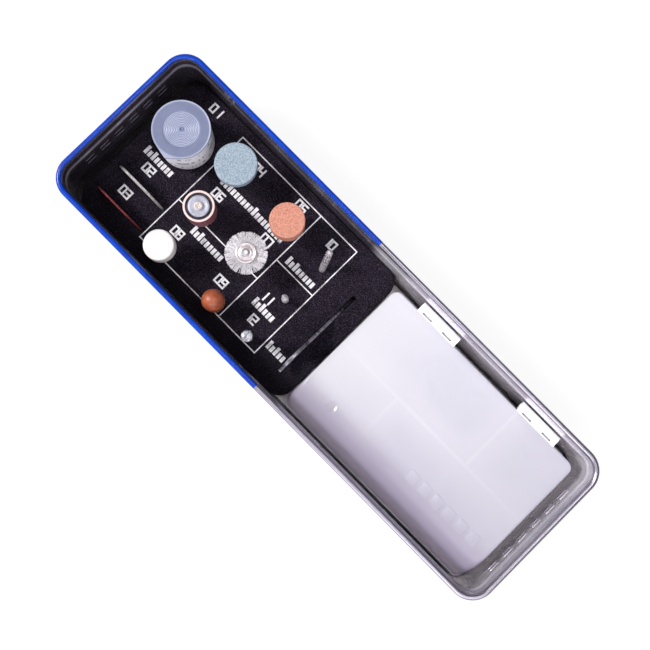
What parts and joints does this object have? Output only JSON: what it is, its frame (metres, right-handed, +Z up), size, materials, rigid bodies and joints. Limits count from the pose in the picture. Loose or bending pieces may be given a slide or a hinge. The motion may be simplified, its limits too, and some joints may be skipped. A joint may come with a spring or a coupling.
{
  "type": "rotary tool accessory tin",
  "caption": "Open metal tin with a foam bed of stones, wheels, discs and cutters for a rotary tool, and a hinged plastic parts box.",
  "frame": {"origin": "middle of the tin's footprint, on the surface it stands on", "axes": "+X along the tin towards the plastic box, +Y towards the box's hinges, +Z up out of the open tin"},
  "size_m": [0.26, 0.084, 0.044],
  "materials": {
    "tin_wall": "glossy blue enamel outside on the foam half, bare bright tinplate inside and on the other half",
    "tin_floor": "bare tinplate, satin, slightly warm",
    "foam_block": "black closed-cell foam, fine pores",
    "foam_print": "thin worn white screen print",
    "vial_body": "translucent polypropylene",
    "vial_label": "white paper band",
    "vial_cap": "translucent blue-grey polyethylene, satin, turned grooves",
    "cutoff_discs": "resin-bonded abrasive, rough",
    "green_stone": "fine blue-green silicon carbide grain",
    "orange_stone": "fine orange aluminium oxide grain",
    "drum_rubber": "smooth black rubber",
    "sanding_band": "brown-red abrasive grit on a paper tube",
    "drum_washer": "zinc plated",
    "drum_screw": "worn brass-coloured plating",
    "brush_bristles": "fine steel wire",
    "brush_hub": "bright nickel plating",
    "felt_wheel": "pressed white felt",
    "polishing_point": "copper-brown abrasive rubber, matte",
    "mandrel_washers": "dark fibre",
    "mandrel_screw": "bright steel",
    "drill_bit": "ground high-speed steel",
    "carving_cutter": "ground high-speed steel",
    "pale_disc": "rough resin-bonded disc with a pale edge",
    "brown_disc": "red-brown resin-bonded disc",
    "wrench": "pressed steel plate",
    "box_base": "milky translucent polypropylene",
    "box_lid": "milky translucent polypropylene, satin",
    "green_shank": "ground steel",
    "orange_shank": "ground steel",
    "drum_shank": "ground steel",
    "brush_shank": "ground steel",
    "felt_mandrel": "ground steel",
    "polishing_shank": "ground steel",
    "mandrel_body": "ground steel",
    "hinge_pin_left": "white polypropylene",
    "hinge_pin_right": "white polypropylene"
  },
  "bodies": {
    "tin": {"tin_wall": "tin_wall", "tin_floor": "tin_floor", "foam_block": "foam_block", "foam_print": "foam_print"},
    "vial": {"vial_body": "vial_body", "vial_label": "vial_label"},
    "vial_cap": {"vial_cap": "vial_cap"},
    "disc_stack": {"cutoff_discs": "cutoff_discs"},
    "green_point": {"green_stone": "green_stone", "green_shank": "green_shank"},
    "orange_point": {"orange_stone": "orange_stone", "orange_shank": "orange_shank"},
    "drum": {"drum_shank": "drum_shank", "drum_rubber": "drum_rubber", "drum_washer": "drum_washer"},
    "band": {"sanding_band": "sanding_band"},
    "drum_bolt": {"drum_screw": "drum_screw"},
    "brush": {"brush_bristles": "brush_bristles", "brush_hub": "brush_hub", "brush_shank": "brush_shank"},
    "felt": {"felt_wheel": "felt_wheel", "felt_mandrel": "felt_mandrel"},
    "polisher": {"polishing_point": "polishing_point", "polishing_shank": "polishing_shank"},
    "mandrel": {"mandrel_body": "mandrel_body", "mandrel_washers": "mandrel_washers"},
    "mandrel_bolt": {"mandrel_screw": "mandrel_screw"},
    "drill": {"drill_bit": "drill_bit"},
    "cutter": {"carving_cutter": "carving_cutter"},
    "pale_cutting_disc": {"pale_disc": "pale_disc"},
    "brown_cutting_disc": {"brown_disc": "brown_disc"},
    "flat_wrench": {"wrench": "wrench"},
    "box": {"box_base": "box_base", "hinge_pin_left": "hinge_pin_left", "hinge_pin_right": "hinge_pin_right"},
    "lid": {"box_lid": "box_lid"}
  },
  "joints": [
    {"name": "vial_lift", "type": "slide", "parent": "tin", "child": "vial", "axis": [0, 0, 1], "range_m": [0, 0.05]},
    {"name": "vial_cap_lift", "type": "slide", "parent": "vial", "child": "vial_cap", "axis": [0, 0, 1], "range_m": [0, 0.02]},
    {"name": "disc_stack_rise", "type": "slide", "parent": "vial", "child": "disc_stack", "axis": [0, 0, 1], "range_m": [0, 0.008]},
    {"name": "green_point_lift", "type": "slide", "parent": "tin", "child": "green_point", "axis": [0, 0, 1], "range_m": [0, 0.05]},
    {"name": "orange_point_lift", "type": "slide", "parent": "tin", "child": "orange_point", "axis": [0, 0, 1], "range_m": [0, 0.05]},
    {"name": "drum_lift", "type": "slide", "parent": "tin", "child": "drum", "axis": [0, 0, 1], "range_m": [0, 0.05]},
    {"name": "band_off", "type": "slide", "parent": "drum", "child": "band", "axis": [0, 0, 1], "range_m": [0, 0.016]},
    {"name": "drum_bolt_turn", "type": "hinge", "parent": "drum", "child": "drum_bolt", "pos_m": [-0.0755, -0.0036, 0.04], "axis": [0, 0, 1], "range_deg": [0, 720]},
    {"name": "brush_lift", "type": "slide", "parent": "tin", "child": "brush", "axis": [0, 0, 1], "range_m": [0, 0.05]},
    {"name": "felt_lift", "type": "slide", "parent": "tin", "child": "felt", "axis": [0, 0, 1], "range_m": [0, 0.05]},
    {"name": "polisher_lift", "type": "slide", "parent": "tin", "child": "polisher", "axis": [0, 0, 1], "range_m": [0, 0.05]},
    {"name": "mandrel_lift", "type": "slide", "parent": "tin", "child": "mandrel", "axis": [0, 0, 1], "range_m": [0, 0.05]},
    {"name": "mandrel_bolt_turn", "type": "hinge", "parent": "mandrel", "child": "mandrel_bolt", "pos_m": [-0.0206, -0.0282, 0.04], "axis": [0, 0, 1], "range_deg": [0, 720]},
    {"name": "drill_lift", "type": "slide", "parent": "tin", "child": "drill", "axis": [0, 0, 1], "range_m": [0, 0.05]},
    {"name": "cutter_pull", "type": "slide", "parent": "tin", "child": "cutter", "axis": [-0.0835, 0.2802, 0.9563], "range_m": [0, 0.05]},
    {"name": "pale_disc_lift", "type": "slide", "parent": "tin", "child": "pale_cutting_disc", "axis": [0, 0, 1], "range_m": [0, 0.05]},
    {"name": "brown_disc_lift", "type": "slide", "parent": "tin", "child": "brown_cutting_disc", "axis": [0, 0, 1], "range_m": [0, 0.05]},
    {"name": "wrench_lift", "type": "slide", "parent": "tin", "child": "flat_wrench", "axis": [0, 0, 1], "range_m": [0, 0.05]},
    {"name": "box_lift", "type": "slide", "parent": "tin", "child": "box", "axis": [0, 0, 1], "range_m": [0, 0.06]},
    {"name": "lid_hinge", "type": "hinge", "parent": "box", "child": "lid", "pos_m": [0.0657, 0.0362, 0.0305], "axis": [-1, 0, 0], "range_deg": [0, 90]}
  ]
}
